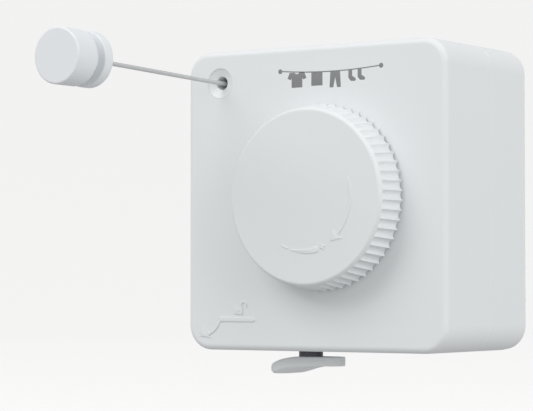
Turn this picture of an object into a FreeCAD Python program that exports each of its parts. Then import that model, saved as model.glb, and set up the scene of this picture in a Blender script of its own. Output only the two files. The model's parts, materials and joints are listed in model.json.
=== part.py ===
import FreeCAD, Part
import math
import os

# Retractable clothesline in a square wall case.
# Millimetres. X to the right seen from the front, Y into the wall, Z up.
# The origin is the centre of the wall plate's back face, so the front face is at Y = -DEPTH.

# Case
SIDE = 125.0
DEPTH = 67.0
CORNER_R = 10.5
FRONT_EDGE_R = 2.5
WALL = 2.5
SEAM_Y = -30.0
SEAM_CHAMFER = 0.35
PLATE_T = 4.0
CASE_SCREW_AT = 55.0
CASE_BOSS_R = 4.0
CASE_SCREW_R = 1.45
CASE_SCREW_SEAT_Y = -10.0
WALL_HOLE_AT = 35.0
WALL_HOLE_R = 2.5
HOOK_X = 25.0
HOOK_HALF = 4.0
PLATE_SCREW_X = 30.0
PLATE_SCREW_Y = -12.0
FIT = 0.05

# Line, its outlet and the round grip on its end
LINE_R = 0.9
OUTLET_X = -46.0
OUTLET_Z = 49.1
OUTLET_BORE_R = 2.7
OUTLET_MOUTH_R = 6.1
OUTLET_R = 6.4
OUTLET_LIP = 0.25
OUTLET_CONE = 1.3
OUTLET_REAR_Y = -59.0
GRIP_BACK_Y = -153.3
GRIP_Z = 51.7
GRIP_R = 11.0
GRIP_NECK_R = 7.5
GRIP_FLANGE_T = 4.9
GRIP_GROOVE = 4.6
GRIP_FRONT_T = 11.7
GRIP_SPIGOT_R = 6.0
GRIP_SPIGOT_LENGTH = 7.2
GRIP_EDGE_R = 0.5
GRIP_FRONT_EDGE_R = 0.8
LINE_INTO_GRIP = 16.3
FERRULE_R = 2.8
FERRULE_LENGTH = 4.2

# Tension knob
KNOB_X = 5.0
KNOB_FACE_R = 35.8
KNOB_BASE_R = 38.3
KNOB_HEIGHT = 14.3
KNOB_GAP = 0.6
KNOB_WALL = 2.2
KNOB_EDGE_R = 1.5
FLUTES = 60
FLUTE_R = 1.85
FLUTE_DEPTH = 1.3
KNOB_WEBS = 6
DRIVE_HALF = 4.5
DRIVE_END_Y = -56.0
FRONT_BUSH_R = 14.0
KNOB_SCREW_R = 2.0

# Line drum and the turns on it
CORE_R = 33.5
FLANGE_R = 43.5
CHANNEL_FRONT_Y = -45.5
CHANNEL_BACK_Y = -31.0
LAYER = 1.56
LAYERS = 3
HUB_R = 11.95
HUB_FRONT_Y = -66.8
HUB_SHOULDER_Y = -61.6
FLANGE_FRONT_Y = -47.5
FLANGE_BACK_Y = -29.0
DRUM_POCKET_R = 30.0

# Ratchet and pawl
TEETH = 24
TIP_R = 30.0
ROOT_R = 27.5
RATCHET_FRONT_Y = -53.5
RATCHET_BACK_Y = -49.5
RATCHET_SEAT_R = 16.0
RATCHET_SCREWS_AT = 21.0
PAWL_FRONT_Y = -53.3
PAWL_BACK_Y = -49.7
PAWL_PIN_R = 1.5
PAWL_X = 23.0
PAWL_Z = -29.0
PAWL_SWING = 8.5

# Lock lever under the case
LEVER_X = -11.1
LEVER_Y = -51.0
LEVER_R = 4.0
LEVER_STEM_R = 5.0
LEVER_STEM_Z = -67.0
LEVER_KEY = 2.6
LEVER_WIDTH = 12.0
LEVER_LEFT_X = -29.7
LEVER_RIGHT_X = 4.5
LEVER_END_R = 5.9
CAM_R = 9.5
CAM_SCREW_R = 1.0
CAM_TOP_Z = -45.0
CAM_MID_Z = -49.6
CAM_SLOPE = 0.36

# Recoil spring
SPRING_TURNS = 12
SPRING_T = 0.4
SPRING_INNER_R = 6.8
SPRING_PITCH = 2.55
SPRING_FRONT_Y = -25.0
SPRING_WIDTH = 12.0
ARBOR_R = 6.0
ARBOR_SCREWS_AT = 10.0
BARREL_R = 41.0
BARREL_FLOOR_Y = -26.9
BARREL_REAR_Y = -11.0
BARREL_SCREWS_AT = 26.0

# Guide pulley behind the outlet
PULLEY_LINE_R = 5.0
PULLEY_FLANGE_R = 6.9
PULLEY_HALF_T = 2.5
PULLEY_PIN_R = 1.5
BRACKET_FRONT_Y = -53.0
BRACKET_T = 2.0

FRONT_Y = -DEPTH
INNER_FRONT_Y = FRONT_Y + WALL
FLOOR_Y = -PLATE_T - WALL
HALF = SIDE / 2
LINE_Y = (CHANNEL_FRONT_Y + CHANNEL_BACK_Y) / 2
WINDING_R = CORE_R + 2 * LINE_R + (LAYERS - 1) * LAYER
RUN_R = WINDING_R + LINE_R + 0.3

V = FreeCAD.Vector
ALONG_Y = V(0, 1, 0)


def box(x0, x1, y0, y1, z0, z1):
    return Part.makeBox(x1 - x0, y1 - y0, z1 - z0, V(x0, y0, z0))


def rod_y(x, z, r, y0, y1):
    return Part.makeCylinder(r, y1 - y0, V(x, y0, z), ALONG_Y)


def rod_z(x, y, r, z0, z1):
    return Part.makeCylinder(r, z1 - z0, V(x, y, z0), V(0, 0, 1))


def tube_y(x, z, r_in, r_out, y0, y1):
    return rod_y(x, z, r_out, y0, y1).cut(rod_y(x, z, r_in, y0 - 1, y1 + 1))


def slab(half, corner, y0, y1):
    """A square prism along Y with rounded corners."""
    block = box(-half, half, y0, y1, -half, half)
    edges = [e for e in block.Edges if abs(e.tangentAt(e.FirstParameter).y) > 0.9]
    return block.makeFillet(corner, edges)


def edges_at(shape, y):
    """The edges that lie in the plane Y = y."""
    return [e for e in shape.Edges if abs(e.BoundBox.YMin - y) < 1e-6 and abs(e.BoundBox.YMax - y) < 1e-6]


def turned(profile, x, z):
    """A solid of revolution about the line through (x, z) along Y, from (radius, y) points."""
    points = [V(x + r, y, z) for r, y in profile]
    face = Part.Face(Part.makePolygon(points + points[:1]))
    return face.revolve(V(x, 0, z), ALONG_Y, 360)


def plate_xz(points, y0, y1):
    """A prism along Y whose outline is given as (x, z) points."""
    outline = [V(x, y0, z) for x, z in points]
    return Part.Face(Part.makePolygon(outline + outline[:1])).extrude(V(0, y1 - y0, 0))


def around(shape, count, x=KNOB_X, z=0.0):
    """Copies of a shape spread evenly round an axis along Y."""
    copies = []
    for i in range(count):
        copy = shape.copy()
        copy.rotate(V(x, 0, z), ALONG_Y, 360.0 * i / count)
        copies.append(copy)
    return copies


def fused(shapes):
    return shapes[0].multiFuse(shapes[1:]).removeSplitter()


def corners(at):
    return [(sx * at, sz * at) for sx in (-1, 1) for sz in (-1, 1)]


def pan_screw(x, z, seat_y, head_r, head_t, shank_r, length, toward):
    """A screw along Y. Its head sits on the seat and the shank runs toward +1 or -1."""
    head = rod_y(x, z, head_r, min(seat_y, seat_y - toward * head_t), max(seat_y, seat_y - toward * head_t))
    drive = box(x - head_r * 0.55, x + head_r * 0.55, 0, 0.7, z - 0.4, z + 0.4)
    drive = drive.fuse(box(x - 0.4, x + 0.4, 0, 0.7, z - head_r * 0.55, z + head_r * 0.55))
    outer = seat_y - toward * head_t
    drive.translate(V(0, outer if toward > 0 else outer - 0.7, 0))
    ends = sorted((seat_y, seat_y + toward * length))
    return head.cut(drive).fuse(rod_y(x, z, shank_r, ends[0], ends[1])).removeSplitter()


# Line path: the outlet, a quarter turn on the guide pulley, then a tangent on the drum's top.

def run_angle():
    """Angle, about the drum, of the point where the line meets its winding."""
    dx = OUTLET_X - KNOB_X
    reach = math.hypot(dx, OUTLET_Z)
    return math.atan2(OUTLET_Z, dx) - math.acos(RUN_R / reach)


def run_end():
    angle = run_angle()
    return V(KNOB_X + RUN_R * math.cos(angle), LINE_Y, RUN_R * math.sin(angle))


def run_direction():
    toward = run_end() - V(OUTLET_X, LINE_Y, OUTLET_Z)
    return toward.normalize()


def pulley_centre():
    along = run_direction()
    return V(OUTLET_X, LINE_Y - PULLEY_LINE_R, OUTLET_Z) + along * PULLEY_LINE_R


def tilted(shape):
    """Places a shape made round the pulley's own centre and axis, with Z along the pin."""
    along = run_direction()
    shape.rotate(V(0, 0, 0), ALONG_Y, -math.degrees(math.atan2(along.z, along.x)))
    shape.translate(pulley_centre())
    return shape


# Case

def wall_plate():
    plate = slab(HALF - 0.3, CORNER_R - 0.3, -PLATE_T, 0)
    plate = plate.makeChamfer(SEAM_CHAMFER, edges_at(plate, -PLATE_T) + edges_at(plate, 0))
    for x in (-HOOK_X, HOOK_X):
        plate = plate.fuse(box(x - HOOK_HALF, x + HOOK_HALF, -6.8, -PLATE_T, 44, 47))
        plate = plate.fuse(box(x - HOOK_HALF, x + HOOK_HALF, -8.8, -6.8, 44, 50))
    block = box(PLATE_SCREW_X - 5, PLATE_SCREW_X + 5, -17, -PLATE_T, -56.6, -48)
    block = block.cut(rod_z(PLATE_SCREW_X, PLATE_SCREW_Y, 1.5, -57, -49))
    plate = plate.fuse(block)
    for x, z in corners(WALL_HOLE_AT):
        plate = plate.cut(rod_y(x, z, WALL_HOLE_R, -PLATE_T - 1, 1))
        sink = Part.makeCone(WALL_HOLE_R + 2, WALL_HOLE_R, 2, V(x, -PLATE_T, z), ALONG_Y)
        plate = plate.cut(sink)
    return plate.removeSplitter()


def rear_shell():
    shell = slab(HALF, CORNER_R, SEAM_Y, -PLATE_T)
    shell = shell.makeChamfer(SEAM_CHAMFER, edges_at(shell, SEAM_Y) + edges_at(shell, -PLATE_T))
    shell = shell.cut(slab(HALF - WALL, CORNER_R - WALL, SEAM_Y - 1, FLOOR_Y))
    inside = slab(HALF - WALL - 1.15, CORNER_R - WALL - 1.15, SEAM_Y - 3, SEAM_Y + 7)
    tongue = slab(HALF - WALL - 0.15, CORNER_R - WALL - 0.15, SEAM_Y - 2, SEAM_Y + 6).cut(inside)
    foot = slab(HALF - WALL + 0.1, CORNER_R - WALL + 0.1, SEAM_Y + 2, SEAM_Y + 6).cut(inside)
    parts = [shell, tongue, foot]
    parts += [rod_y(x, z, CASE_BOSS_R, SEAM_Y, FLOOR_Y) for x, z in corners(CASE_SCREW_AT)]
    parts.append(box(PLATE_SCREW_X - 5, PLATE_SCREW_X + 5, -17, FLOOR_Y, -60, -57))
    shell = fused(parts)
    for x, z in corners(CASE_SCREW_AT):
        shell = shell.cut(rod_y(x, z, CASE_SCREW_R + 0.25, SEAM_Y - 1, 0))
        shell = shell.cut(rod_y(x, z, 3.1, CASE_SCREW_SEAT_Y, 0))
    for x, z in corners(WALL_HOLE_AT):
        shell = shell.cut(rod_y(x, z, 6, FLOOR_Y - 1, 0))
    for x in (-HOOK_X, HOOK_X):
        shell = shell.cut(box(x - HOOK_HALF - 0.3, x + HOOK_HALF + 0.3, FLOOR_Y - 1, 0, 40.5, 47.05))
    shell = shell.cut(box(PLATE_SCREW_X - 5.3, PLATE_SCREW_X + 5.3, FLOOR_Y - 1, 0, -56.9, -47.7))
    shell = shell.cut(rod_z(PLATE_SCREW_X, PLATE_SCREW_Y, 1.7, -63, -56))
    shell = shell.cut(rod_z(PLATE_SCREW_X, PLATE_SCREW_Y, 3.2, -63, -60.3))
    for hole in around(rod_y(KNOB_X + ARBOR_SCREWS_AT, 0, 1.4, FLOOR_Y - 1, 0), 3):
        shell = shell.cut(hole)
    sink = Part.makeCone(1.4, 2.9, 1.8, V(KNOB_X + ARBOR_SCREWS_AT, -5.8, 0), ALONG_Y)
    for copy in around(sink, 3):
        shell = shell.cut(copy)
    return shell.removeSplitter()


def front_shell():
    shell = slab(HALF, CORNER_R, FRONT_Y, SEAM_Y)
    shell = shell.makeFillet(FRONT_EDGE_R, edges_at(shell, FRONT_Y))
    shell = shell.makeChamfer(SEAM_CHAMFER, edges_at(shell, SEAM_Y))
    cavity = slab(HALF - WALL, CORNER_R - WALL, INNER_FRONT_Y, SEAM_Y + 1)
    shell = shell.cut(cavity.makeFillet(1.0, edges_at(cavity, INNER_FRONT_Y)))
    parts = [shell]
    parts += [rod_y(x, z, CASE_BOSS_R, INNER_FRONT_Y - 1, SEAM_Y - 2.2) for x, z in corners(CASE_SCREW_AT)]
    parts.append(rod_y(PAWL_X, PAWL_Z, 4.5, INNER_FRONT_Y - 1, -54))
    parts.append(box(34, 38, INNER_FRONT_Y - 1, -50, -49, -44.5))
    parts.append(rod_z(LEVER_X, LEVER_Y, 7, -HALF + 1, -57.5))
    parts += [rod_y(p.x, p.z, 3.2, INNER_FRONT_Y - 1, -53.05) for p in bracket_screw_places()]
    shell = fused(parts)
    holes = [rod_y(x, z, CASE_SCREW_R + FIT, -50, SEAM_Y) for x, z in corners(CASE_SCREW_AT)]
    holes.append(rod_y(KNOB_X, 0, FRONT_BUSH_R + FIT, FRONT_Y - 1, -60))
    holes.append(rod_y(OUTLET_X, OUTLET_Z, OUTLET_R + FIT, FRONT_Y - 1, -60))
    holes.append(rod_y(PAWL_X, PAWL_Z, PAWL_PIN_R, -64, -53))
    holes.append(box(35.7, 36.3, -54, -49, -48.5, -44))
    holes.append(rod_z(LEVER_X, LEVER_Y, LEVER_R + 0.06, -64, -56))
    holes += [rod_y(p.x, p.z, 1.3, -60, -53) for p in bracket_screw_places()]
    for hole in holes:
        shell = shell.cut(hole)
    return shell.removeSplitter()


def case_screws():
    places = corners(CASE_SCREW_AT)
    return [pan_screw(x, z, CASE_SCREW_SEAT_Y, 2.8, 2.2, CASE_SCREW_R, 34.0, -1) for x, z in places]


def plate_lock_screw():
    x, y = PLATE_SCREW_X, PLATE_SCREW_Y
    screw = rod_z(x, y, 2.9, -62.2, -60.35).fuse(rod_z(x, y, 1.45, -60.4, -50))
    drive = box(x - 1.6, x + 1.6, y - 0.4, y + 0.4, -62.3, -61.5)
    drive = drive.fuse(box(x - 0.4, x + 0.4, y - 1.6, y + 1.6, -62.3, -61.5))
    return screw.cut(drive).removeSplitter()


def line_outlet():
    """A grommet flush with the front: a small step, a shallow cone and a softened way into the bore."""
    cone_y = FRONT_Y + OUTLET_CONE
    return turned(
        [(OUTLET_R, FRONT_Y), (OUTLET_R, OUTLET_REAR_Y), (OUTLET_BORE_R, OUTLET_REAR_Y),
         (OUTLET_BORE_R, cone_y + 0.5), (OUTLET_BORE_R + 0.15, cone_y + 0.15), (OUTLET_BORE_R + 0.5, cone_y),
         (OUTLET_MOUTH_R, FRONT_Y + OUTLET_LIP), (OUTLET_MOUTH_R, FRONT_Y)], OUTLET_X, OUTLET_Z)


def front_bush():
    bush = tube_y(KNOB_X, 0, HUB_R + FIT, FRONT_BUSH_R, FRONT_Y, -63)
    return bush.fuse(tube_y(KNOB_X, 0, HUB_R + FIT, 17, INNER_FRONT_Y, -63)).removeSplitter()


# Drum, knob and ratchet: everything that turns about the knob's axis

def line_drum():
    profile = [
        (0, HUB_FRONT_Y), (HUB_R, HUB_FRONT_Y), (HUB_R, HUB_SHOULDER_Y), (RATCHET_SEAT_R, HUB_SHOULDER_Y),
        (RATCHET_SEAT_R, RATCHET_BACK_Y), (26, RATCHET_BACK_Y), (26, FLANGE_FRONT_Y),
        (FLANGE_R, FLANGE_FRONT_Y), (FLANGE_R, CHANNEL_FRONT_Y), (CORE_R, CHANNEL_FRONT_Y),
        (CORE_R, CHANNEL_BACK_Y), (FLANGE_R, CHANNEL_BACK_Y), (FLANGE_R, FLANGE_BACK_Y),
        (DRUM_POCKET_R, FLANGE_BACK_Y), (DRUM_POCKET_R, CHANNEL_FRONT_Y), (0, CHANNEL_FRONT_Y)]
    boss = rod_y(KNOB_X + BARREL_SCREWS_AT, 0, 4.2, CHANNEL_FRONT_Y - 1, FLANGE_BACK_Y)
    drum = fused([turned(profile, KNOB_X, 0)] + around(boss, 3))
    half = DRIVE_HALF + FIT
    drum = drum.cut(box(KNOB_X - half, KNOB_X + half, -68, DRIVE_END_Y + 0.5, -half, half))
    drum = drum.cut(rod_y(KNOB_X, 0, KNOB_SCREW_R + 0.1, -56, -40)).cut(rod_y(KNOB_X, 0, 5, -50, -40))
    for hole in around(rod_y(KNOB_X + BARREL_SCREWS_AT, 0, 1.5, -40, -28), 3):
        drum = drum.cut(hole)
    for hole in around(rod_y(KNOB_X + RATCHET_SCREWS_AT, 0, 1.5, -50, -46), 3):
        drum = drum.cut(hole)
    return drum


def tension_knob():
    face_y = FRONT_Y - KNOB_HEIGHT
    base_y = FRONT_Y - KNOB_GAP
    cup = turned([(0, face_y), (KNOB_FACE_R, face_y), (KNOB_BASE_R, base_y), (0, base_y)], KNOB_X, 0)
    cup = cup.makeFillet(KNOB_EDGE_R, edges_at(cup, face_y))
    inner_y = face_y + KNOB_WALL
    inset = FLUTE_DEPTH + KNOB_WALL
    hollow = turned(
        [(0, inner_y), (KNOB_FACE_R - inset, inner_y), (KNOB_BASE_R - inset, base_y + 1), (0, base_y + 1)],
        KNOB_X, 0)
    slope = math.degrees(math.atan2(KNOB_BASE_R - KNOB_FACE_R, KNOB_HEIGHT - KNOB_GAP))
    flute = rod_y(0, 0, FLUTE_R, -1, KNOB_HEIGHT + 3)
    flute.rotate(V(0, 0, 0), V(0, 0, 1), -slope)
    flute.translate(V(KNOB_X + KNOB_FACE_R + FLUTE_R - FLUTE_DEPTH, face_y, 0))
    cup = cup.cut(hollow).cut(Part.makeCompound(around(flute, FLUTES)))
    half = DRIVE_HALF
    spigot = rod_y(KNOB_X, 0, 9, face_y + 1, base_y)
    spigot = spigot.fuse(box(KNOB_X - half, KNOB_X + half, base_y - 1, DRIVE_END_Y, -half, half))
    web = box(KNOB_X + 8, KNOB_X + 33, face_y + 1, face_y + 7, -0.8, 0.8)
    knob = fused([cup, spigot] + around(web, KNOB_WEBS))
    return knob.cut(rod_y(KNOB_X, 0, KNOB_SCREW_R + FIT, -66, -55))


def knob_screw():
    return pan_screw(KNOB_X, 0, -50.0, 4.0, 2.6, KNOB_SCREW_R, 14.5, -1)


def thrust_washer():
    return tube_y(KNOB_X, 0, HUB_R + 0.1, 16.5, -62.9, -61.65)


def ratchet_wheel():
    """Steep tooth faces look to the side that stops the line running out."""
    points = []
    for i in range(TEETH):
        steep = -math.pi / 2 + 2 * math.pi * i / TEETH
        points.append((KNOB_X + TIP_R * math.cos(steep), TIP_R * math.sin(steep)))
        points.append((KNOB_X + ROOT_R * math.cos(steep), ROOT_R * math.sin(steep)))
    wheel = plate_xz(points, RATCHET_FRONT_Y, RATCHET_BACK_Y)
    wheel = wheel.cut(rod_y(KNOB_X, 0, RATCHET_SEAT_R + FIT, -60, -40))
    for hole in around(rod_y(KNOB_X + RATCHET_SCREWS_AT, 0, 1.6, -60, -40), 3):
        wheel = wheel.cut(hole)
    return wheel


def ratchet_screws():
    x = KNOB_X + RATCHET_SCREWS_AT
    return around(pan_screw(x, 0, RATCHET_FRONT_Y, 2.75, 1.9, 1.45, 7.0, 1), 3)


def spring_barrel():
    front_y = FLANGE_BACK_Y + FIT
    barrel = turned(
        [(8.1, front_y), (BARREL_R, front_y), (BARREL_R, BARREL_REAR_Y), (BARREL_R - 2, BARREL_REAR_Y),
         (BARREL_R - 2, BARREL_FLOOR_Y), (8.1, BARREL_FLOOR_Y)], KNOB_X, 0)
    for hole in around(rod_y(KNOB_X + BARREL_SCREWS_AT, 0, 1.6, -30, -20), 3):
        barrel = barrel.cut(hole)
    return barrel


def barrel_screws():
    return around(pan_screw(KNOB_X + BARREL_SCREWS_AT, 0, BARREL_FLOOR_Y, 2.75, 1.8, 1.45, 10.0, -1), 3)


def barrel_cover():
    """A disc whose rim overlaps the barrel's end, with a ring inside it that centres it."""
    front_y = BARREL_REAR_Y + FIT
    ring_r = BARREL_R - 2.1
    return turned(
        [(6.4, front_y), (ring_r - 2, front_y), (ring_r - 2, -13), (ring_r, -13), (ring_r, front_y),
         (BARREL_R, front_y), (BARREL_R, -9.7), (6.4, -9.7)], KNOB_X, 0)


def rear_bush():
    return tube_y(KNOB_X, 0, ARBOR_R + FIT, 8.05, -30, BARREL_FLOOR_Y)


def line_winding():
    """Turns of line lying side by side: a ring whose outside is a row of half rounds."""
    turns = 8
    pitch = (CHANNEL_BACK_Y - CHANNEL_FRONT_Y - 0.1) / turns
    first = CHANNEL_FRONT_Y + 0.05
    crown = WINDING_R - LINE_R
    edges = []
    for i in range(turns):
        y0 = first + i * pitch
        start = V(KNOB_X + crown, y0, 0)
        top = V(KNOB_X + WINDING_R, y0 + pitch / 2, 0)
        end = V(KNOB_X + crown, y0 + pitch, 0)
        edges.append(Part.Arc(start, top, end).toShape())
    last = first + turns * pitch
    inner = KNOB_X + CORE_R + FIT
    outer = KNOB_X + crown
    under = [V(outer, last, 0), V(inner, last, 0), V(inner, first, 0), V(outer, first, 0)]
    for a, b in zip(under, under[1:]):
        edges.append(Part.LineSegment(a, b).toShape())
    return Part.Face(Part.Wire(edges)).revolve(V(KNOB_X, 0, 0), ALONG_Y, 360)


# Recoil spring and its arbor

def spring_arbor():
    flange_y = -9.4
    arbor = turned(
        [(0, CHANNEL_BACK_Y), (ARBOR_R, CHANNEL_BACK_Y), (ARBOR_R, flange_y), (14, flange_y), (14, FLOOR_Y),
         (0, FLOOR_Y)], KNOB_X, 0)
    for hole in around(rod_y(KNOB_X + ARBOR_SCREWS_AT, 0, 1.2, -9.3, -6), 3):
        arbor = arbor.cut(hole)
    return arbor


def arbor_screws():
    x = KNOB_X + ARBOR_SCREWS_AT
    shank = rod_y(x, 0, 1.15, -9.0, -5.7)
    head = Part.makeCone(1.15, 2.7, 1.6, V(x, -5.7, 0), ALONG_Y)
    return around(shank.fuse(head).removeSplitter(), 3)


def recoil_spring():
    """A flat strip wound in half circles whose centres alternate, so the turns grow evenly."""
    step = SPRING_PITCH / 2
    edges = []
    for side in (-1, 1):
        for i in range(2 * SPRING_TURNS):
            radius = SPRING_INNER_R + step * (i + 0.5) + side * SPRING_T / 2
            centre = KNOB_X + (step / 2 if i % 2 else -step / 2)
            flip = -1 if i % 2 else 1
            a = V(centre + flip * radius, SPRING_FRONT_Y, 0)
            b = V(centre, SPRING_FRONT_Y, flip * radius)
            c = V(centre - flip * radius, SPRING_FRONT_Y, 0)
            edges.append((a, b, c))
    half = 2 * SPRING_TURNS
    shapes = [Part.Arc(*e).toShape() for e in edges]
    starts = (edges[0][0], edges[half][0])
    ends = (edges[half - 1][2], edges[-1][2])
    shapes.append(Part.LineSegment(*starts).toShape())
    shapes.append(Part.LineSegment(*ends).toShape())
    wire = Part.Wire(Part.__sortEdges__(shapes))
    return Part.Face(wire).extrude(V(0, SPRING_WIDTH, 0))


# Pawl and lock lever

def pawl():
    """Drawn where it meets the ratchet, then turned clear of the teeth, which is its rest place."""
    outline = [
        (5.3, -28.1), (12.9, -29.7), (20.5, -28.0), (23.0, -32.2), (9.0, -36.5),
        (1.5, -51.5), (-6.0, -51.5), (-6.0, -48.8), (-1.0, -48.8), (5.3, -36.0)]
    arm = plate_xz(outline, PAWL_FRONT_Y, PAWL_BACK_Y)
    arm = arm.fuse(rod_y(PAWL_X, PAWL_Z, 3.4, PAWL_FRONT_Y, PAWL_BACK_Y)).removeSplitter()
    arm = arm.cut(rod_y(PAWL_X, PAWL_Z, PAWL_PIN_R + FIT, -60, -40))
    arm.rotate(V(PAWL_X, 0, PAWL_Z), ALONG_Y, -PAWL_SWING)
    return arm


def pawl_pin():
    groove = tube_y(PAWL_X, PAWL_Z, 1.1, 3, -49.55, -48.85)
    return rod_y(PAWL_X, PAWL_Z, PAWL_PIN_R, -64, -48.4).cut(groove)


def pawl_clip():
    clip = tube_y(PAWL_X, PAWL_Z, 1.15, 3.0, -49.5, -48.9)
    return clip.cut(box(PAWL_X - 0.9, PAWL_X + 0.9, -50, -48, PAWL_Z - 4, PAWL_Z))


def pawl_spring():
    """A leaf held in a slotted post, with its free end under the pawl."""
    middle = [(36.0, -48.2), (36.0, -43.4), (15.4, -37.0), (13.6, -37.6)]
    half_t = 0.2
    sides = {-1: [], 1: []}
    for i, (x, z) in enumerate(middle):
        before = middle[max(i - 1, 0)]
        after = middle[min(i + 1, len(middle) - 1)]
        ways = []
        for a, b in ((before, (x, z)), ((x, z), after)):
            if a != b:
                length = math.hypot(b[0] - a[0], b[1] - a[1])
                ways.append(((b[1] - a[1]) / length, (a[0] - b[0]) / length))
        nx = sum(w[0] for w in ways) / len(ways)
        nz = sum(w[1] for w in ways) / len(ways)
        grow = half_t / (nx * nx + nz * nz)
        for side, points in sides.items():
            points.append((x + side * nx * grow, z + side * nz * grow))
    return plate_xz(sides[1] + sides[-1][::-1], -53.0, -50.2)


def lever_plan():
    """The paddle's outline seen from above: a bar with round ends."""
    x0, x1 = LEVER_LEFT_X, LEVER_RIGHT_X
    y0, y1 = LEVER_Y - LEVER_WIDTH / 2, LEVER_Y + LEVER_WIDTH / 2
    r = LEVER_END_R
    parts = [box(x0 + r, x1 - r, y0, y1, -80, -60), box(x0, x1, y0 + r, y1 - r, -80, -60)]
    parts += [rod_z(x, y, r, -80, -60) for x in (x0 + r, x1 - r) for y in (y0 + r, y1 - r)]
    return fused(parts)


def lever_facet():
    """What is cut from the paddle's lower front edge: a wedge that gets shallower to the right."""
    points = [V(-40, -1, 1), V(-40, -1, -9), V(-40, 12.5, -9)]
    wedge = Part.Face(Part.makePolygon(points + points[:1])).extrude(V(80, 0, 0))
    wedge.rotate(V(0, 0, 0), V(0, 1, 0), -6.0)
    wedge.translate(V(-16, LEVER_Y - LEVER_WIDTH / 2, -69.8))
    return wedge


def lock_lever():
    profile = [
        (4.5, -65.0), (-15.0, -65.0), (-22.5, -66.2), (-28.6, -68.6), (-29.6, -70.0), (-29.3, -71.7),
        (-28.0, -72.2), (-19.0, -72.1), (-15.5, -71.1), (-11.0, -69.9), (-5.0, -68.9), (4.5, -68.8)]
    paddle = plate_xz(profile, LEVER_Y - LEVER_WIDTH / 2, LEVER_Y + LEVER_WIDTH / 2)
    paddle = paddle.common(lever_plan()).cut(lever_facet())
    return paddle.cut(rod_z(LEVER_X, LEVER_Y, LEVER_STEM_R, LEVER_STEM_Z, -60))


def lever_shaft():
    """A stem set in the paddle, the shaft through the case and the square that carries the cam."""
    stem = rod_z(LEVER_X, LEVER_Y, LEVER_STEM_R, LEVER_STEM_Z, -62.7)
    shaft = rod_z(LEVER_X, LEVER_Y, LEVER_R, -64, -57.4)
    half = LEVER_KEY
    key = box(LEVER_X - half, LEVER_X + half, LEVER_Y - half, LEVER_Y + half, -58, -46)
    return fused([stem, shaft, key]).cut(rod_z(LEVER_X, LEVER_Y, CAM_SCREW_R + FIT, -56, -45))


def lock_cam():
    """A disc whose slanted underside pushes the pawl's finger down as the lever turns."""
    disc = rod_z(LEVER_X, LEVER_Y, CAM_R, -60, CAM_TOP_Z)
    below = Part.makeBox(80, 80, 40, V(-40, -40, -40))
    # The slope's steepest line stands midway between the two ends of the lever's quarter turn.
    below.rotate(V(0, 0, 0), V(0, 1, 0), math.degrees(math.atan(CAM_SLOPE)))
    below.rotate(V(0, 0, 0), V(0, 0, 1), 45)
    below.translate(V(LEVER_X, LEVER_Y, CAM_MID_Z))
    cam = disc.cut(below).fuse(rod_z(LEVER_X, LEVER_Y, 4.5, -57.2, CAM_TOP_Z))
    half = LEVER_KEY + FIT
    key = box(LEVER_X - half, LEVER_X + half, LEVER_Y - half, LEVER_Y + half, -60, -40)
    return cam.cut(key).removeSplitter()


def cam_screw():
    head = rod_z(LEVER_X, LEVER_Y, 3.4, CAM_TOP_Z + 0.02, CAM_TOP_Z + 1.6)
    head = head.cut(box(LEVER_X - 2, LEVER_X + 2, LEVER_Y - 0.4, LEVER_Y + 0.4, CAM_TOP_Z + 1, CAM_TOP_Z + 2))
    return head.fuse(rod_z(LEVER_X, LEVER_Y, CAM_SCREW_R, -55, CAM_TOP_Z + 0.1)).removeSplitter()


# Guide pulley

def guide_pulley():
    pulley = rod_z(0, 0, PULLEY_FLANGE_R, -PULLEY_HALF_T, PULLEY_HALF_T)
    pulley = pulley.cut(Part.makeTorus(PULLEY_LINE_R, LINE_R + 0.3))
    mouth = rod_z(0, 0, 10, -LINE_R - 0.3, LINE_R + 0.3).cut(rod_z(0, 0, PULLEY_LINE_R, -3, 3))
    return tilted(pulley.cut(mouth).cut(rod_z(0, 0, PULLEY_PIN_R + FIT, -3, 3)))


def pulley_pin():
    pin = rod_z(0, 0, PULLEY_PIN_R, -5.2, 5.3).fuse(rod_z(0, 0, 2.4, 4.55, 5.3))
    return tilted(pin.removeSplitter())


def bracket_screw_local():
    return [(9.5, -5.5), (9.5, 5.5)]


def bracket_screw_places():
    return [tilted(Part.Vertex(x, 0, z)).Point for x, z in bracket_screw_local()]


def pulley_bracket():
    front = BRACKET_FRONT_Y - (LINE_Y - PULLEY_LINE_R)
    bracket = box(-2, 13, front, front + BRACKET_T, -8, 8)
    for z in (-4.5, 3.0):
        bracket = bracket.fuse(box(-3.7, 4.5, front, 3.7, z, z + 1.5))
    bracket = bracket.cut(rod_z(0, 0, PULLEY_PIN_R + 0.02, -10, 10))
    for x, z in bracket_screw_local():
        bracket = bracket.cut(rod_y(x, z, 1.6, front - 1, front + 3))
    return tilted(bracket.removeSplitter())


def bracket_screws():
    seat_y = BRACKET_FRONT_Y + BRACKET_T
    return [pan_screw(p.x, p.z, seat_y, 2.6, 1.8, 1.25, 8.0, -1) for p in bracket_screw_places()]


# The line itself

def tube_along(edges):
    """The line's round section carried along a wire of straight runs and arcs."""
    path = Part.Wire(edges)
    first = edges[0]
    start = first.valueAt(first.FirstParameter)
    way = first.tangentAt(first.FirstParameter)
    ring = Part.Wire(Part.makeCircle(LINE_R, start, way))
    tube = path.makePipeShell([ring], True, False)
    expected = math.pi * LINE_R ** 2 * path.Length
    print(f"line length {path.Length:.2f} mm, volume {tube.Volume:.2f} of {expected:.2f} mm3")
    return tube


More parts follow.
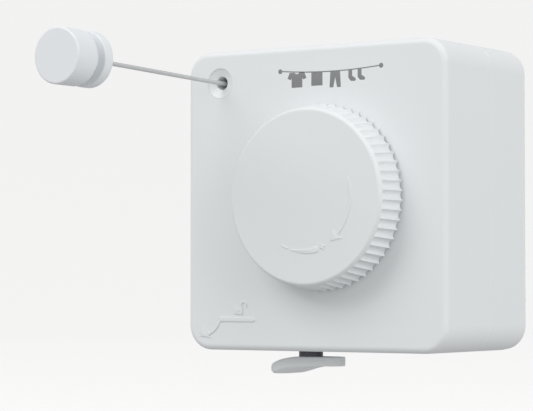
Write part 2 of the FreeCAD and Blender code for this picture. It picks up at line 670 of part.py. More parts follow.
def line_run():
    """From the outlet's front plane to the winding, round the guide pulley."""
    along = run_direction()
    centre = pulley_centre()
    a = V(OUTLET_X, FRONT_Y + 0.05, OUTLET_Z)
    b = centre - along * PULLEY_LINE_R
    middle = centre + (ALONG_Y - along) * (PULLEY_LINE_R / math.sqrt(2))
    c = centre + ALONG_Y * PULLEY_LINE_R
    print(f"line arc radius {PULLEY_LINE_R:.1f} mm on the guide pulley")
    return tube_along([Part.LineSegment(a, b).toShape(), Part.Arc(b, middle, c).toShape(),
                       Part.LineSegment(c, run_end()).toShape()])


def line_free():
    """The taut stretch outside the case: one straight run from the outlet to the grip."""
    a = V(OUTLET_X, FRONT_Y - 0.02, OUTLET_Z)
    b = V(OUTLET_X, GRIP_BACK_Y + 0.05, GRIP_Z)
    return tube_along([Part.LineSegment(a, b).toShape()])


def line_in_grip():
    return rod_y(OUTLET_X, GRIP_Z, LINE_R, GRIP_BACK_Y - LINE_INTO_GRIP, GRIP_BACK_Y)


def line_ferrule():
    front_y = GRIP_BACK_Y - LINE_INTO_GRIP + 0.1
    return tube_y(OUTLET_X, GRIP_Z, LINE_R + 0.02, FERRULE_R, front_y, front_y + FERRULE_LENGTH)


def grip_rear():
    """Back flange, neck and the spigot that the front half is pushed onto."""
    flange_y = GRIP_BACK_Y - GRIP_FLANGE_T
    flange = rod_y(OUTLET_X, GRIP_Z, GRIP_R, flange_y, GRIP_BACK_Y)
    flange = flange.makeFillet(GRIP_EDGE_R, edges_at(flange, flange_y) + edges_at(flange, GRIP_BACK_Y))
    neck_y = flange_y - GRIP_GROOVE
    neck = rod_y(OUTLET_X, GRIP_Z, GRIP_NECK_R, neck_y, flange_y + 1)
    spigot = rod_y(OUTLET_X, GRIP_Z, GRIP_SPIGOT_R, neck_y - GRIP_SPIGOT_LENGTH, neck_y + 1)
    grip = fused([flange, neck, spigot])
    grip = grip.cut(rod_y(OUTLET_X, GRIP_Z, LINE_R + 0.1, neck_y - 9, 0))
    pocket_y = GRIP_BACK_Y - LINE_INTO_GRIP + FERRULE_LENGTH + 0.2
    return grip.cut(rod_y(OUTLET_X, GRIP_Z, FERRULE_R + 0.2, neck_y - 9, pocket_y))


def grip_front():
    back_y = GRIP_BACK_Y - GRIP_FLANGE_T - GRIP_GROOVE
    front_y = back_y - GRIP_FRONT_T
    cup = rod_y(OUTLET_X, GRIP_Z, GRIP_R, front_y, back_y)
    cup = cup.makeFillet(GRIP_FRONT_EDGE_R, edges_at(cup, front_y))
    rim = [e for e in edges_at(cup, back_y) if e.BoundBox.XLength > 2 * GRIP_R - 0.1]
    cup = cup.makeFillet(GRIP_EDGE_R, rim)
    return cup.cut(rod_y(OUTLET_X, GRIP_Z, GRIP_SPIGOT_R + FIT, back_y - 8, back_y + 1))


def write(name, shape):
    solids = shape if isinstance(shape, list) else [shape]
    for solid in solids:
        assert solid.isValid() and len(solid.Solids) == 1, (name, solid.isValid(), len(solid.Solids))
    made = Part.makeCompound([s.Solids[0] for s in solids]) if len(solids) > 1 else solids[0].Solids[0]
    made.exportStep(f"parts/{name}.step")
    print(f"{name}: {made.Volume:.1f} mm3")


SUBPARTS = [
    wall_plate, rear_shell, front_shell, case_screws, plate_lock_screw, line_outlet, front_bush,
    line_drum, tension_knob, knob_screw, thrust_washer, ratchet_wheel, ratchet_screws,
    spring_barrel, barrel_screws, barrel_cover, rear_bush, line_winding,
    spring_arbor, arbor_screws, recoil_spring,
    pawl, pawl_pin, pawl_clip, pawl_spring, lock_lever, lever_shaft, lock_cam, cam_screw,
    guide_pulley, pulley_pin, pulley_bracket, bracket_screws,
    line_run, line_free, line_in_grip, line_ferrule, grip_rear, grip_front]

os.makedirs("parts", exist_ok=True)
for subpart in SUBPARTS:
    write(subpart.__name__, subpart())
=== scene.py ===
import json
import math
import bmesh
import bpy
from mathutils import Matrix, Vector
from mathutils.geometry import tessellate_polygon


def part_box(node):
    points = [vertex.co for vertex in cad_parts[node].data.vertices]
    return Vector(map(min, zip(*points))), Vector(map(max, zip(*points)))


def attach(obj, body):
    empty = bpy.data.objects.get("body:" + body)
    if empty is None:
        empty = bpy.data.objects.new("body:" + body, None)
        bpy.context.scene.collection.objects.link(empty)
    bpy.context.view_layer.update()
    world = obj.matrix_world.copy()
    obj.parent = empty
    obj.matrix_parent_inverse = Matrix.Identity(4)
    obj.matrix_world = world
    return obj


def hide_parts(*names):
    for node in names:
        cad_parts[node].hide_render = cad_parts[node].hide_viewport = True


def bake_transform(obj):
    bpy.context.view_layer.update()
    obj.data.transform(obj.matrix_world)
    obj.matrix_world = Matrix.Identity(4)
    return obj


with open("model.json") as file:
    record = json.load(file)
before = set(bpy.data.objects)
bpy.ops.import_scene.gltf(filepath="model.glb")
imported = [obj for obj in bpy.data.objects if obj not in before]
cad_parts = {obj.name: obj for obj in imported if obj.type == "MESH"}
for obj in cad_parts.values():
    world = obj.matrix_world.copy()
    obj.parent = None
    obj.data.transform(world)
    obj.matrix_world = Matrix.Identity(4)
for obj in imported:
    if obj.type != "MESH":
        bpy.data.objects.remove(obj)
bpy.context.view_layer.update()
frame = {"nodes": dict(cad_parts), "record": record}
nodes = frame["nodes"]

MM = 0.001


def low(node):
    """Lowest corner of a CAD node's box, in millimetres."""
    return [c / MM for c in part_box(node)[0]]


def high(node):
    """Highest corner of a CAD node's box, in millimetres."""
    return [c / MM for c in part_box(node)[1]]


def mid(node):
    """Centre of a CAD node's box, in millimetres."""
    return [(a + b) / 2 for a, b in zip(low(node), high(node))]


def half_width(node):
    """Half a CAD node's size along X, in millimetres."""
    return (high(node)[0] - low(node)[0]) / 2


FRONT_Y = low("front_shell")[1]
KNOB_X, _, KNOB_Z = mid("tension_knob")
OUTLET_X, _, OUTLET_Z = mid("line_outlet")
GRIP_X, _, GRIP_Z = mid("grip_rear")
LEVER_X, LEVER_Y, _ = mid("lock_cam")


# Camera: a long lens in front of the object, to its right and a little below its middle

camera_data = bpy.data.cameras.new("camera")
camera_data.lens = 149.4
camera_data.sensor_width = 36
camera_data.clip_end = 100
camera = bpy.data.objects.new("camera", camera_data)
camera.location = (0.4886, -0.822, -0.0345)
camera.rotation_euler = (math.radians(92), 0, math.radians(34.1))
bpy.context.collection.objects.link(camera)
bpy.context.scene.camera = camera


# Materials

def material(name, colour, vary, roughness, rough_vary, grain, bump,
             patch=30.0, metallic=0.0, stretch=(1, 1, 1), wave=0.0):
    """Colour patches, uneven gloss and a fine grain, all in the object's own space, so they move with it.
    vary and rough_vary say how far colour and roughness stray. grain and patch are noise scales, and the
    larger they are, the finer the noise. bump and wave are heights in millimetres, of the grain and of a
    broad unevenness."""
    mat = bpy.data.materials.new(name)
    mat.use_nodes = True
    tree = mat.node_tree
    add = tree.nodes.new
    link = tree.links.new
    shader = tree.nodes["Principled BSDF"]
    shader.inputs["Metallic"].default_value = metallic
    place = add("ShaderNodeTexCoord")
    scaled = add("ShaderNodeMapping")
    scaled.inputs["Scale"].default_value = stretch
    link(place.outputs["Object"], scaled.inputs["Vector"])

    def noise(scale, detail, rough=0.5):
        node = add("ShaderNodeTexNoise")
        node.inputs["Scale"].default_value = scale
        node.inputs["Detail"].default_value = detail
        node.inputs["Roughness"].default_value = rough
        link(scaled.outputs["Vector"], node.inputs["Vector"])
        return node.outputs["Fac"]

    def bump_node(depth, height):
        node = add("ShaderNodeBump")
        node.inputs["Strength"].default_value = 0.6
        node.inputs["Distance"].default_value = depth * MM
        link(height, node.inputs["Height"])
        return node

    mixed = add("ShaderNodeMix")
    mixed.data_type = "RGBA"
    factor, darker, lighter, result = mixed.inputs[0], mixed.inputs[6], mixed.inputs[7], mixed.outputs[2]
    darker.default_value = [c * (1 - vary) for c in colour] + [1]
    lighter.default_value = [min(c * (1 + vary), 1) for c in colour] + [1]
    link(noise(patch, 4), factor)
    link(result, shader.inputs["Base Color"])

    gloss = add("ShaderNodeMapRange")
    gloss.inputs["From Min"].default_value = 0.3
    gloss.inputs["From Max"].default_value = 0.7
    gloss.inputs["To Min"].default_value = roughness - rough_vary
    gloss.inputs["To Max"].default_value = roughness + rough_vary
    link(noise(patch * 9, 3), gloss.inputs["Value"])
    link(gloss.outputs["Result"], shader.inputs["Roughness"])

    fine = bump_node(bump, noise(grain, 2, 0.6))
    link(fine.outputs["Normal"], shader.inputs["Normal"])
    if wave:
        broad = bump_node(wave, noise(patch * 0.8, 1))
        link(broad.outputs["Normal"], fine.inputs["Normal"])
    return mat


# One for each of the record's slots: colour and its variation, roughness and its variation, grain and bump
looks = {
    "case_white": material("case_white", (0.80, 0.825, 0.835), 0.006, 0.52, 0.05, 5200, 0.012, wave=0.05),
    "grip_white": material("grip_white", (0.80, 0.83, 0.85), 0.006, 0.42, 0.05, 4200, 0.006, wave=0.04),
    "acetal": material("acetal", (0.78, 0.78, 0.74), 0.02, 0.35, 0.06, 3000, 0.008),
    "drum_grey": material("drum_grey", (0.33, 0.34, 0.35), 0.03, 0.45, 0.06, 3500, 0.012),
    "zinc_steel": material("zinc_steel", (0.62, 0.63, 0.65), 0.08, 0.38, 0.10, 2500, 0.01,
                           patch=300, metallic=1.0),
    "bright_steel": material("bright_steel", (0.72, 0.72, 0.72), 0.03, 0.22, 0.06, 4000, 0.004,
                             metallic=1.0, stretch=(1, 6, 1)),
    "spring_steel": material("spring_steel", (0.10, 0.105, 0.115), 0.10, 0.32, 0.08, 2500, 0.006,
                             patch=120, metallic=1.0, stretch=(1, 8, 1)),
    "line_grey": material("line_grey", (0.55, 0.56, 0.56), 0.05, 0.38, 0.06, 3000, 0.02, patch=500),
    "ferrule_metal": material("ferrule_metal", (0.55, 0.40, 0.27), 0.05, 0.30, 0.08, 2500, 0.008,
                              metallic=1.0),
}
print_grey = material("print_grey", (0.235, 0.24, 0.245), 0.05, 0.55, 0.05, 6000, 0.006, patch=900)

for part in frame["record"]["subparts"]:
    node = nodes[part["node"]]
    node.data.materials.clear()
    node.data.materials.append(looks[part["material_slot"]])


# Making meshes, from points in millimetres

def made(mesh, body, slot, sharp, look=None):
    """A piece with its mesh's name, smooth except at edges of more than that many degrees. It has the slot's
    material unless another look is given, and rides on the body unless there is none."""
    obj = bpy.data.objects.new(mesh.name, mesh)
    bpy.context.collection.objects.link(obj)
    mesh.shade_smooth()
    mesh.set_sharp_from_angle(angle=math.radians(sharp))
    mesh.materials.append(look or looks[slot])
    if body:
        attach(obj, body)
    return obj


def from_points(name, points, faces):
    mesh = bpy.data.meshes.new(name)
    mesh.from_pydata([[c * MM for c in p] for p in points], [], faces)
    mesh.validate()
    shape = bmesh.new()
    shape.from_mesh(mesh)
    bmesh.ops.recalc_face_normals(shape, faces=shape.faces)
    shape.to_mesh(mesh)
    shape.free()
    return mesh


def tube(name, rings):
    """A skin over rings of points, all with as many points, closed by a flat face at each end."""
    size, last = len(rings[0]), len(rings) - 1
    faces = []
    for i in range(last):
        for k in range(size):
            n = (k + 1) % size
            a, b = i * size, (i + 1) * size
            faces.append([a + k, a + n, b + n, b + k])
    faces.append(list(range(size))[::-1])
    faces.append([last * size + k for k in range(size)])
    return from_points(name, [point for ring in rings for point in ring], faces)


def lathe(name, rows, steps, x, z, radius=None, ring=False):
    """A skin turned about the line through (x, z) along Y, from (radius, y) rows.
    The first and last rows may have no radius, or ring joins them, which leaves a hole through the middle.
    radius(row, y, angle) changes the radius on the way round."""
    points, faces, rings = [], [], []
    for r, y in rows:
        if r == 0:
            rings.append([len(points)])
            points.append((x, y, z))
            continue
        rings.append(list(range(len(points), len(points) + steps)))
        for k in range(steps):
            angle = 2 * math.pi * k / steps
            turned = radius(r, y, angle) if radius else r
            points.append((x + turned * math.cos(angle), y, z + turned * math.sin(angle)))
    for a, b in zip(rings, rings[1:] + rings[:1] * ring):
        for k in range(steps):
            n = (k + 1) % steps
            corners = [a[k % len(a)], a[n % len(a)], b[n % len(b)], b[k % len(b)]]
            faces.append(list(dict.fromkeys(corners)))
    return from_points(name, points, faces)


# Outlines

def arc(cx, cy, r, start, end, steps):
    """Points of an arc as (cx + r cos, cy + r sin), degrees."""
    turn = [math.radians(start + (end - start) * i / steps) for i in range(steps + 1)]
    return [(cx + r * math.cos(t), cy + r * math.sin(t)) for t in turn]


def disc(cx, cy, r):
    """A closed outline of 24 points round a circle."""
    return arc(cx, cy, r, 0, 345, 23)


def spread(first, last, steps):
    """Numbers from first to last in that many even steps."""
    return [first + (last - first) * i / steps for i in range(steps + 1)]


def mirrored(half):
    """A closed outline from the half of it with x above 0."""
    return half + [(-x, z) for x, z in half[::-1] if x]


def inset(outline, amount):
    """The closed (x, z) outline moved inward by that amount, corner by corner."""
    area = sum(a[0] * b[1] - b[0] * a[1] for a, b in zip(outline, outline[1:] + outline[:1]))
    side = 1 if area > 0 else -1
    moved = []
    for i, (x, z) in enumerate(outline):
        a, b = outline[i - 1], outline[(i + 1) % len(outline)]
        u = Vector((x - a[0], z - a[1])).normalized()
        v = Vector((b[0] - x, b[1] - z)).normalized()
        n = Vector((-u.y - v.y, u.x + v.x)) * side
        # Longer than the amount at a corner, as a mitre is, but not much so at a sharp one
        n = n / max(n.length_squared / 2, 0.5)
        moved.append((x + n.x * amount, z + n.y * amount))
    return moved


def ribbon(points, width):
    """Outline of a band of that width along (x, z) points, with round ends. Width may be one per point."""
    widths = width if isinstance(width, list) else [width] * len(points)
    left, right = [], []
    for i, (x, z) in enumerate(points):
        a = points[max(i - 1, 0)]
        b = points[min(i + 1, len(points) - 1)]
        d = math.hypot(b[0] - a[0], b[1] - a[1])
        nx, nz = -(b[1] - a[1]) / d, (b[0] - a[0]) / d
        half = widths[i] / 2
        left.append((x + nx * half, z + nz * half))
        right.append((x - nx * half, z - nz * half))

    def cap(centre, edge):
        turn = math.degrees(math.atan2(edge[1] - centre[1], edge[0] - centre[0]))
        r = math.hypot(edge[0] - centre[0], edge[1] - centre[1])
        return arc(centre[0], centre[1], r, turn, turn - 180, 6)[1:-1]

    return left + cap(points[-1], left[-1]) + right[::-1] + cap(points[0], right[0])


def relief(name, outlines, body, height, soft, y=FRONT_Y, sunk=0.05, slot="case_white", look=None):
    """Flat shapes with softened top edges standing on the plane Y = y, from closed (x, z) outlines.
    Raised ones each stand a hair prouder than the one before, so that tops that overlap don't coincide."""
    prouder = 0.006 if height > 0.1 else 0
    points, faces = [], []
    for nth, outline in enumerate(outlines):
        top_y = y - height - prouder * nth
        rows = [(0, y + sunk)] + arc(soft, top_y + soft, soft, 180, 270, 3)
        first, count = len(points), len(outline)
        for amount, at in rows:
            points += [(x, at, z) for x, z in inset(outline, amount)]
        for i in range(len(rows) - 1):
            for k in range(count):
                n = (k + 1) % count
                a, b = first + i * count, first + (i + 1) * count
                faces.append([a + k, a + n, b + n, b + k])
        last = first + (len(rows) - 1) * count
        flat = tessellate_polygon([[Vector((x, z, 0)) for x, _, z in points[last:]]])
        faces += [[start + k for k in face] for start in (last, first) for face in flat]
    made(from_points(name, points, faces), body, slot, sharp=60, look=look)


# The line from the outlet to the grip. Its route repeats the CAD's points, in metres, with one more on the
# straight, 6 diameters out of the outlet.

LINE_D = 0.0018
LINE_SIDES = 48
STRANDS = 6
LAY = 0.011         # length of line in which the strands go round once
GROOVE = 0.00007    # depth between two strands
OUTLET_CLEAR, GRIP_CLEAR = 0.00002, 0.00005
line_start = Vector((OUTLET_X * MM, FRONT_Y * MM - OUTLET_CLEAR, OUTLET_Z * MM))
line_end = Vector((GRIP_X * MM, high("grip_rear")[1] * MM + GRIP_CLEAR, GRIP_Z * MM))
route = [line_start, line_start.lerp(line_end, 6 * LINE_D / (line_end - line_start).length), line_end]


def spline_points(name, points, resolution):
    """Points read from the smooth NURBS line that has the route's points as its controls."""
    curve = bpy.data.curves.new(name, "CURVE")
    curve.dimensions = "3D"
    spline = curve.splines.new("NURBS")
    spline.points.add(len(points) - 1)
    for point, place in zip(spline.points, points):
        point.co = (*place, 1)
    spline.order_u = 3
    spline.use_endpoint_u = True
    spline.resolution_u = resolution
    holder = bpy.data.objects.new(name, curve)
    bpy.context.collection.objects.link(holder)
    bpy.context.view_layer.update()
    mesh = bpy.data.meshes.new_from_object(holder)
    found = [v.co.copy() for v in mesh.vertices]
    bpy.data.objects.remove(holder)
    return found


def stranded(name, path, walked=0.0):
    """The line along a path, both in metres. Its coat shows the strands twisted under it.
    walked is how far along the twist the path starts."""
    rings = []
    for i, here in enumerate(path):
        before = path[max(i - 1, 0)]
        after = path[min(i + 1, len(path) - 1)]
        if i:
            walked += (here - before).length
        along = (after - before).normalized()
        side = along.cross(Vector((0, 0, 1))).normalized()
        up = side.cross(along)
        twist = 2 * math.pi * walked / LAY
        ring = []
        for k in range(LINE_SIDES):
            angle = 2 * math.pi * k / LINE_SIDES
            dip = (0.5 - 0.5 * math.cos(STRANDS * (angle - twist))) ** 2
            r = LINE_D / 2 - GROOVE * dip
            ring.append((here + side * r * math.cos(angle) + up * r * math.sin(angle)) / MM)
        rings.append(ring)
    return tube(name, rings)


line_path = spline_points("line_route", route, 120)
line = made(stranded("line_free_stranded", line_path), None, "line_grey", sharp=80)
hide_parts("line_free")
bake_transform(line)

# The same line inside the case, from the drum round the guide pulley to the outlet, in millimetres
inner_route = [(11.79, -38.25, 39.03), (-12.18, -38.25, 43.22), (-36.15, -38.25, 47.38), (-46, -38.25, 49.1),
               (-46, -48.25, 49.1), (-46, -58, 49.1), (-46, -67.02, 49.1)]
inner_path = spline_points("line_inner_route", [Vector(p) * MM for p in inner_route], 40)
inner_length = sum((b - a).length for a, b in zip(inner_path, inner_path[1:]))
inner_line = made(stranded("line_run_stranded", inner_path, -inner_length), "housing", "line_grey", sharp=80)
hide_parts("line_run")


# The outlet's grommet: a small step, a shallow cone and a rounded way into the bore

OUTLET_R = half_width("line_outlet") + 0.04
OUTLET_REAR_Y = high("line_outlet")[1]
MOUTH_R, MOUTH_STEP, MOUTH_EDGE_R = 6.1, 0.25, 0.1
BORE_R, BORE_EDGE_R = 2.7, 0.5
CONE_Y = FRONT_Y + 1.3
BEVEL = 0.08
outlet_rows = [(OUTLET_R, OUTLET_REAR_Y), (BORE_R, OUTLET_REAR_Y)]
outlet_rows += arc(BORE_R + BORE_EDGE_R, CONE_Y + BORE_EDGE_R, BORE_EDGE_R, 180, 248, 8)
outlet_rows += arc(MOUTH_R - MOUTH_EDGE_R, FRONT_Y + MOUTH_STEP, MOUTH_EDGE_R, 70, 0, 4)
outlet_rows += [(MOUTH_R, FRONT_Y + BEVEL), (MOUTH_R + BEVEL, FRONT_Y)]
outlet_rows += [(OUTLET_R - BEVEL, FRONT_Y), (OUTLET_R, FRONT_Y + BEVEL)]
outlet_mesh = lathe("line_outlet_mouth", outlet_rows, 120, OUTLET_X, OUTLET_Z, ring=True)
outlet = made(outlet_mesh, "housing", "case_white", sharp=50)
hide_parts("line_outlet")


# Tension knob: a shallow cup with fluted sides, turning with the drum

FACE_Y = low("tension_knob")[1]
BASE_Y = FRONT_Y - 0.6
BASE_R = half_width("tension_knob")
FACE_R = BASE_R - 2.5
FACE_EDGE_R = 1.25
FACE_THICK, SIDE_THICK, SIDE_LEAN = 2.4, 2.2, 2.3
SIDE_ROWS = 26
FLUTES = 60
FLUTE_R = 1.95
FLUTE_DEPTH = 1.35
FLUTE_START, FLUTE_RUN_IN = 1.5, 1.3
FLUTE_EDGE = 0.05


def flute(r, y, angle):
    """Radius with the flutes cut in: round hollows that start a little behind the face."""
    if r < FACE_R - 2 or y > BASE_Y + 0.01:
        return r
    run_in = min(max((y - (FACE_Y + FLUTE_START)) / FLUTE_RUN_IN, 0), 1)
    depth = FLUTE_DEPTH * math.sqrt(1 - (1 - run_in) ** 2)
    turn = angle * FLUTES / (2 * math.pi)
    across = (turn - round(turn)) * 2 * math.pi * r / FLUTES
    cut = math.sqrt(max(FLUTE_R ** 2 - across ** 2, 0)) - (FLUTE_R - depth)
    return r - FLUTE_EDGE * math.log1p(math.exp(min(cut / FLUTE_EDGE, 60)))


def knob_rows():
    """(radius, y) rows across the face, back along the leaning side, close together at first, and inside."""
    rows = [(r, FACE_Y) for r in (0, 4, 10, 16, 22, 28, 32, FACE_R - 1.6)]
    rows += arc(FACE_R - FACE_EDGE_R, FACE_Y + FACE_EDGE_R, FACE_EDGE_R, -90, -10, 8)
    side_from, side_to = FACE_Y + 1.4, BASE_Y - 0.25
    for i in range(1, SIDE_ROWS + 1):
        y = side_from + (side_to - side_from) * (i / SIDE_ROWS) ** 1.7
        rows.append((FACE_R + (BASE_R - FACE_R) * (y - FACE_Y) / (BASE_Y - FACE_Y), y))
    rows += [(BASE_R - 0.02, BASE_Y - 0.1), (BASE_R - 0.15, BASE_Y)]
    inner_r = BASE_R - FLUTE_DEPTH - SIDE_THICK
    floor_y = FACE_Y + FACE_THICK
    return rows + [(inner_r, BASE_Y + 0.02), (inner_r - SIDE_LEAN, floor_y), (0, floor_y)]


knob_mesh = lathe("tension_knob_fluted", knob_rows(), FLUTES * 20, KNOB_X, KNOB_Z, flute)
knob = made(knob_mesh, "drum", "case_white", sharp=50)
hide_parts("tension_knob")


# Raised marks on the knob's face, along one ring: an arrow, and in place of a word minus, a wedge and plus

MARK_R = 22.0
KNOB_MARK_UP, KNOB_MARK_SOFT = 0.25, 0.1
SIGN_THICK = 0.8


def on_knob(radius, angle):
    turn = math.radians(angle)
    return KNOB_X + radius * math.cos(turn), KNOB_Z + radius * math.sin(turn)


def ring_line(start, end, steps):
    return arc(KNOB_X, KNOB_Z, MARK_R, start, end, steps)


def plus(radius, angle, arm, thick):
    """Outline of a plus sign on the knob, squared to the ring."""
    cx, cz = on_knob(radius, angle)
    outline = []
    for quarter in range(4):
        turn = math.radians(angle + 90 + 90 * quarter)
        for p, q in [(-thick / 2, -arm), (thick / 2, -arm), (thick / 2, -thick / 2)]:
            outline.append((cx + p * math.cos(turn) - q * math.sin(turn),
                            cz + p * math.sin(turn) + q * math.cos(turn)))
    return outline


arrow_shaft = ribbon(ring_line(18, -46, 24), spread(0.7, 1.2, 24))
arrow_head = [on_knob(MARK_R + 0.3, -45), on_knob(MARK_R + 2.8, -42.5), on_knob(MARK_R + 0.1, -54.5),
              on_knob(MARK_R - 2.8, -43.5)]
relief("knob_arrow", [arrow_shaft, arrow_head], "drum", KNOB_MARK_UP, KNOB_MARK_SOFT, y=FACE_Y)

wedge = ribbon(ring_line(-105, -75, 16), spread(0.6, 2.6, 16))
minus = ribbon(ring_line(-117, -111, 4), SIGN_THICK)
plus_sign = plus(MARK_R, -66, 1.3, SIGN_THICK)
relief("knob_tension_sign", [wedge, minus, plus_sign], "drum", KNOB_MARK_UP, KNOB_MARK_SOFT, y=FACE_Y)


# Raised marks on the case above the lever: its arrow, with an open padlock

lever_bar = ribbon([(-45.5, -49.7), (-29.3, -49.7)], 1.9)
lever_tail = ribbon([(-46.2, -50.9), (-47.6, -53.0), (-49.6, -54.9), (-51.6, -55.9)], [1.0, 1.0, 0.9, 0.9])
lever_head = [(-55.9, -56.9), (-54.6, -52.4), (-53.3, -54.9), (-50.6, -57.3)]
relief("lever_sign_arrow", [lever_bar, lever_tail, lever_head], "housing", height=0.4, soft=0.15)

LOCK_X, LOCK_Z = -36.5, -47.6
LOCK_HALF, LOCK_TOP = 2.2, LOCK_Z + 3.0
SHACKLE_R, SHACKLE_THICK = 1.3, 0.65
lock_body = [(LOCK_X - LOCK_HALF, LOCK_Z), (LOCK_X + LOCK_HALF, LOCK_Z),
             (LOCK_X + LOCK_HALF, LOCK_TOP), (LOCK_X - LOCK_HALF, LOCK_TOP)]
shackle_line = [(LOCK_X + SHACKLE_R, LOCK_TOP - 0.2)]
shackle_line += arc(LOCK_X + 2 * SHACKLE_R, LOCK_TOP + 0.9, SHACKLE_R, 180, 0, 10)
shackle_line += [(LOCK_X + 3 * SHACKLE_R, LOCK_TOP + 0.3)]
shackle = ribbon(shackle_line, SHACKLE_THICK)
keyhole = disc(LOCK_X, (LOCK_Z + LOCK_TOP) / 2, 0.55)
relief("lever_sign_padlock", [lock_body, shackle], "housing", height=0.4, soft=0.12)
relief("lever_sign_keyhole", [keyhole], "housing", height=0.55, soft=0.12)


# Printed mark at the top of the front: a line of washing between two hooks

PRINT_X0, PRINT_X1, PRINT_TOP = -14.5, 31.5, 52.3
PRINT_SAG = 1.1
HOOK_R, HOOK_OUT = 1.0, 1.2


def hung(x):
    """Height of the printed line at x."""
    t = (x - PRINT_X0) / (PRINT_X1 - PRINT_X0)
    return PRINT_TOP - 4 * PRINT_SAG * t * (1 - t)


shirt = mirrored([(0, -0.9), (0.7, -0.7), (1.2, -0.2), (3.6, -0.2), (4.6, -2.6), (3.1, -3.2), (2.6, -2.4),
                  (2.6, -6.4)])
trousers = mirrored([(2.3, -0.2), (2.7, -6.6), (0.9, -6.6), (0, -2.4)])
towel = mirrored([(2.7, -0.2), (2.7, -5.6)])
sock = [(-0.9, -0.2), (0.9, -0.2), (0.9, -2.6), (2.4, -3.5), (2.6, -4.3), (2.1, -4.7), (0.2, -4.6),
        (-0.9, -3.3)]
pegged = [(shirt, -7.5), (towel, 2.2), (trousers, 11.0), (sock, 18.2), (sock, 22.6)]
washing = [[(x + at, z + hung(at)) for x, z in shape] for shape, at in pegged]
printed_line = ribbon([(x, hung(x)) for x in spread(PRINT_X0, PRINT_X1, 30)], 0.45)
hooks = [disc(x, PRINT_TOP, HOOK_R) for x in (PRINT_X0 - HOOK_OUT, PRINT_X1 + HOOK_OUT)]
relief("front_print", [printed_line] + washing + hooks, "housing", height=0.03, soft=0.005, sunk=0.01,
       slot="drum_grey", look=print_grey)


# Lock lever: a paddle under the case, in sections along X

PADDLE_X0, PADDLE_X1 = low("lock_lever")[0], high("lock_lever")[0]
PADDLE_TOP = high("lock_lever")[2]
PADDLE_HALF = (high("lock_lever")[1] - low("lock_lever")[1]) / 2
PADDLE_END_R = 5.9
PADDLE_EDGE_R = 0.7
END_SKIN = 0.05
FACET_LEAN = 1.5
END_SECTIONS, MIDDLE_SECTIONS = 14, 44

# (x, z) along the paddle: its top, its foot, and the upper edge of the facet that slants back at its front
TOP = [(PADDLE_X0, -70.0), (-28.6, -68.6), (-25.5, -67.3), (-22.5, -66.2), (-18.5, -65.4),
       (-15.0, PADDLE_TOP), (PADDLE_X1, PADDLE_TOP)]
FOOT = [(PADDLE_X0, -71.0), (-29.2, -71.8), (-28.0, -72.2), (-23.0, -72.2), (-19.0, -72.0), (-15.5, -71.2),
        (-11.0, -69.9), (-7.5, -69.2), (-4.0, -68.8), (PADDLE_X1, -68.8)]
FACET = [(PADDLE_X0, -70.9), (-26.5, -71.4), (-24.0, -70.7), (-21.7, -69.9), (-19.0, -69.4), (-16.7, -69.2),
         (-11.0, -68.9), (-4.0, -68.6), (PADDLE_X1, -68.6)]


def along(table, x):
    """The table's height at x, straight between its points."""
    for (a, p), (b, q) in zip(table, table[1:]):
        if x <= b:
            return p + (q - p) * (x - a) / (b - a)
    return table[-1][1]


def eased(table, x):
    """The table's height at x, averaged a little each way so that its corners are soft."""
    near = [along(table, min(max(x + d, PADDLE_X0), PADDLE_X1)) for d in (-1.0, -0.5, 0, 0.5, 1.0)]
    return sum(near) / len(near)


def paddle_section(x):
    """Points round the paddle at x, from the front of its top over the back to the slanted facet."""
    inside = min(x - PADDLE_X0, PADDLE_X1 - x) + END_SKIN
    end = min(inside / PADDLE_END_R, 1)
    half = PADDLE_HALF - PADDLE_END_R * (1 - math.sqrt(1 - (1 - end) ** 2))
    top, foot = eased(TOP, x), eased(FOOT, x)
    facet = max(eased(FACET, x), foot + 0.25)
    front, back = LEVER_Y - half, LEVER_Y + half
    keel = front + min((facet - foot) * FACET_LEAN, half)
    r = min(PADDLE_EDGE_R, half * 0.6, (top - foot) * 0.3)
    ring = arc(front + r, top - r, r, 180, 90, 6) + arc(back - r, top - r, r, 90, 0, 6)
    ring += arc(back - r, foot + r, r, 0, -90, 6)
    ring += [((keel + back - r) / 2, foot), (keel + 0.3, foot), (keel, foot + 0.03)]
    ring += [((front + keel) / 2, (facet + foot) / 2 + 0.02)]
    ring += [(front + 0.12, facet - 0.1), (front, facet + 0.15)]
    return [(x, y, z) for y, z in ring]


def paddle_mesh():
    first, last = PADDLE_X0 + END_SKIN, PADDLE_X1 - END_SKIN
    quarter = spread(0, math.pi / 2, END_SECTIONS)
    stations = [first + PADDLE_END_R * (1 - math.cos(t)) for t in quarter]
    stations += spread(first + PADDLE_END_R, last - PADDLE_END_R, MIDDLE_SECTIONS)[1:]
    stations += [last - PADDLE_END_R * (1 - math.sin(t)) for t in quarter[1:]]
    return tube("lock_lever_paddle", [paddle_section(x) for x in stations])


lever = made(paddle_mesh(), "lever", "case_white", sharp=35)
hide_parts("lock_lever")


# The shaft that the paddle is moulded on: its square end, the round shaft in the case and the stem. Its dark
# steel colour is painted shade: it stands for the deep shadow in the gap between the case's bottom and the
# paddle

SQUARE_HALF, SHAFT_R, STEM_R = 2.6, 3.97, 5.0
SHAFT_TOP = high("lever_shaft")[2] - 0.2
SQUARE_FOOT = -57.9
STEM_TOP = low("front_shell")[2] - 0.2
STEM_FOOT = PADDLE_TOP - 0.2


def squared(r, z, angle):
    """The shaft's end is square where the rows give half its width."""
    return r / max(abs(math.cos(angle)), abs(math.sin(angle))) if r == SQUARE_HALF else r


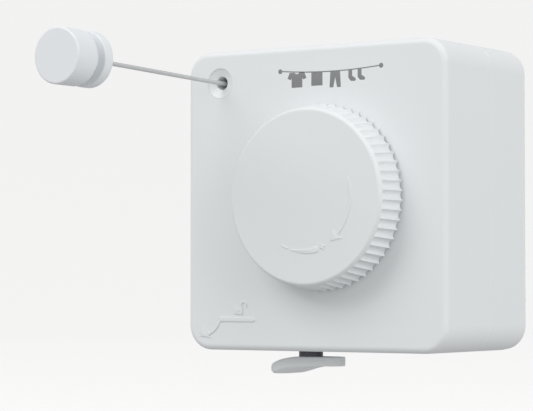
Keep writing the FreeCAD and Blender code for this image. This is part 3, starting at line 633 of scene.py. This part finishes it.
stem_rows = [(0, SHAFT_TOP), (SQUARE_HALF, SHAFT_TOP), (SQUARE_HALF, SQUARE_FOOT)]
stem_rows += [(SHAFT_R, SQUARE_FOOT - 0.2), (SHAFT_R, STEM_TOP + 0.1), (SHAFT_R + 0.03, STEM_TOP)]
stem_rows += [(STEM_R - 0.15, STEM_TOP - 0.05), (STEM_R, STEM_TOP - 0.25)]
stem_rows += [(STEM_R, STEM_FOOT), (0, STEM_FOOT)]
stem_mesh = lathe("lever_shaft_stem", stem_rows, 64, 0, 0, squared)
for v in stem_mesh.vertices:
    v.co = (v.co.x + LEVER_X * MM, v.co.z + LEVER_Y * MM, v.co.y)
stem_mesh.flip_normals()
# The dark spring-steel look here is painted shade, darkening the stem where the gap under the case is in
# shadow
stem = made(stem_mesh, "lever", "spring_steel", sharp=35)
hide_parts("lever_shaft")


# Floor and backdrop in one round sweep, in metres, with a low wall behind the object and to its left

FLOOR_Z, FLOOR_R = -0.19, 42
WALL_FROM, WALL_TO, WALL_HIGH = 5, 8, 1.6
WALL_MIDDLE = math.radians(135)    # from +X towards +Y
WALL_FADE = 0.5                    # cosine, from the middle, at which the wall starts to sink to nothing
FLOOR_GLOW = 0.57


def eased_in(t):
    """From 0 at t = 0 to 1 at t = 1, flat at both ends."""
    return (1 - math.cos(math.pi * min(max(t, 0), 1))) / 2


radii = [0, 2] + spread(WALL_FROM, WALL_TO, 24) + [FLOOR_R]
floor_mesh = lathe("floor", [(r / MM, 0) for r in radii], 96, 0, 0)
for v in floor_mesh.vertices:
    x, y = v.co.x, v.co.z
    facing = math.cos(math.atan2(y, x) - WALL_MIDDLE)
    slope = eased_in((math.hypot(x, y) - WALL_FROM) / (WALL_TO - WALL_FROM))
    v.co = (x, y, FLOOR_Z + WALL_HIGH * slope * eased_in(facing / WALL_FADE))
floor_mesh.shade_smooth()
paper = material("floor", (0.50, 0.497, 0.493), 0.004, 0.7, 0.03, 900, 0.05, patch=2)
paper_shader = paper.node_tree.nodes["Principled BSDF"]
paper_shader.inputs["Emission Color"].default_value = (1, 0.995, 0.99, 1)
paper_shader.inputs["Emission Strength"].default_value = FLOOR_GLOW
floor_mesh.materials.append(paper)
floor = bpy.data.objects.new("floor", floor_mesh)
bpy.context.collection.objects.link(floor)
# The sweep is only seen: it throws no light back on the object, which hangs far above a real floor.
floor.visible_diffuse = False
floor.visible_glossy = False
floor.visible_shadow = False


# Soft studio light

def area_light(name, place, size, power):
    """A soft light that faces the object."""
    data = bpy.data.lights.new(name, "AREA")
    data.shape = "RECTANGLE"
    data.size, data.size_y = size
    data.energy = power
    obj = bpy.data.objects.new(name, data)
    obj.location = place
    obj.rotation_euler = (-Vector(place)).to_track_quat("-Z", "Y").to_euler()
    bpy.context.collection.objects.link(obj)


area_light("key", (-0.7, -1.6, 1.5), (1.4, 1.4), 21.5)
area_light("side", (1.8, -0.4, 0.7), (1.4, 1.6), 15)

# The room, by height of view: brightest a little above level, dimmest a little below it
world = bpy.data.worlds.new("world")
world.use_nodes = True
room = world.node_tree
direction = room.nodes.new("ShaderNodeTexCoord")
split = room.nodes.new("ShaderNodeSeparateXYZ")
upward = room.nodes.new("ShaderNodeMapRange")
upward.inputs["From Min"].default_value = -1
ramp = room.nodes.new("ShaderNodeValToRGB")
room.links.new(direction.outputs["Generated"], split.inputs["Vector"])
room.links.new(split.outputs["Z"], upward.inputs["Value"])
room.links.new(upward.outputs["Result"], ramp.inputs["Fac"])
room.links.new(ramp.outputs["Color"], room.nodes["Background"].inputs["Color"])
ramp.color_ramp.elements[0].color = (0.58, 0.58, 0.585, 1)
ramp.color_ramp.elements[1].color = (0.66, 0.67, 0.68, 1)
for place, level in ((0.42, 0.50), (0.56, 0.74)):
    ramp.color_ramp.elements.new(place).color = (level, level, level, 1)
room.nodes["Background"].inputs["Strength"].default_value = 0.88
bpy.context.scene.world = world
bpy.context.scene.view_settings.view_transform = "Standard"
